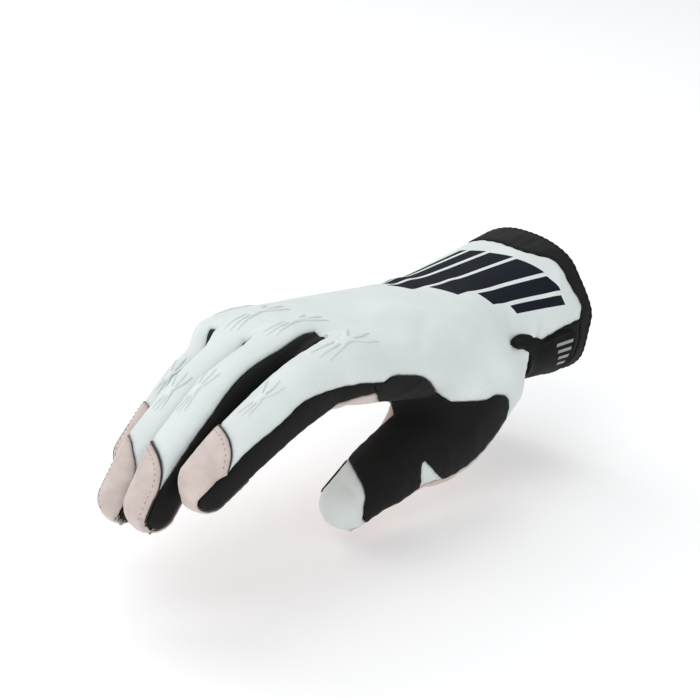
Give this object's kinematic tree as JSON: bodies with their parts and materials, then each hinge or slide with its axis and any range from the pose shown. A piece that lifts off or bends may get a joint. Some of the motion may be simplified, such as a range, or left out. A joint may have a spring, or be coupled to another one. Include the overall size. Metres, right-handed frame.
{
  "type": "motocross glove",
  "caption": "Right-hand motocross glove as worn: sewn stretch-fabric back, suede palm and fingertip caps, dark side gussets, moulded claws, short cuff with a strap.",
  "frame": {"origin": "centre of the cuff mouth, where the wrist goes in", "axes": "+X out of the cuff mouth along the forearm, +Z out of the back of the hand, thumb side towards -Y"},
  "size_m": [0.2375, 0.0872, 0.0886],
  "materials": {
    "white_stretch_fabric": "matt stretch fabric with a fine knit",
    "black_stretch_fabric": "matt black stretch fabric",
    "beige_suede": "short-napped synthetic suede",
    "black_cuff_binding": "matt elastic binding",
    "black_closure_rubber": "satin moulded rubber",
    "white_moulded_rubber": "satin moulded rubber"
  },
  "bodies": {
    "root": {"back_panel": "white_stretch_fabric", "palm_panel": "beige_suede", "thumb_patch": "black_stretch_fabric", "thumb_palm_panel": "beige_suede", "thumb_tip_panel": "white_stretch_fabric", "thumb_gore": "white_stretch_fabric", "index_side_gusset": "black_stretch_fabric", "little_side_gusset": "black_stretch_fabric", "index_middle_gusset": "black_stretch_fabric", "middle_ring_gusset": "black_stretch_fabric", "ring_little_gusset": "black_stretch_fabric", "index_tip_cap": "beige_suede", "middle_tip_cap": "beige_suede", "ring_tip_cap": "beige_suede", "little_tip_cap": "beige_suede", "cuff_collar": "black_cuff_binding", "cuff_under_panel": "black_stretch_fabric", "closure_strap": "black_closure_rubber", "index_knuckle_claw": "white_moulded_rubber", "index_middle_claw": "white_moulded_rubber", "middle_knuckle_claw": "white_moulded_rubber", "middle_middle_claw": "white_moulded_rubber", "ring_knuckle_claw": "white_moulded_rubber", "ring_middle_claw": "white_moulded_rubber", "little_knuckle_claw": "white_moulded_rubber", "little_middle_claw": "white_moulded_rubber"}
  },
  "joints": []
}
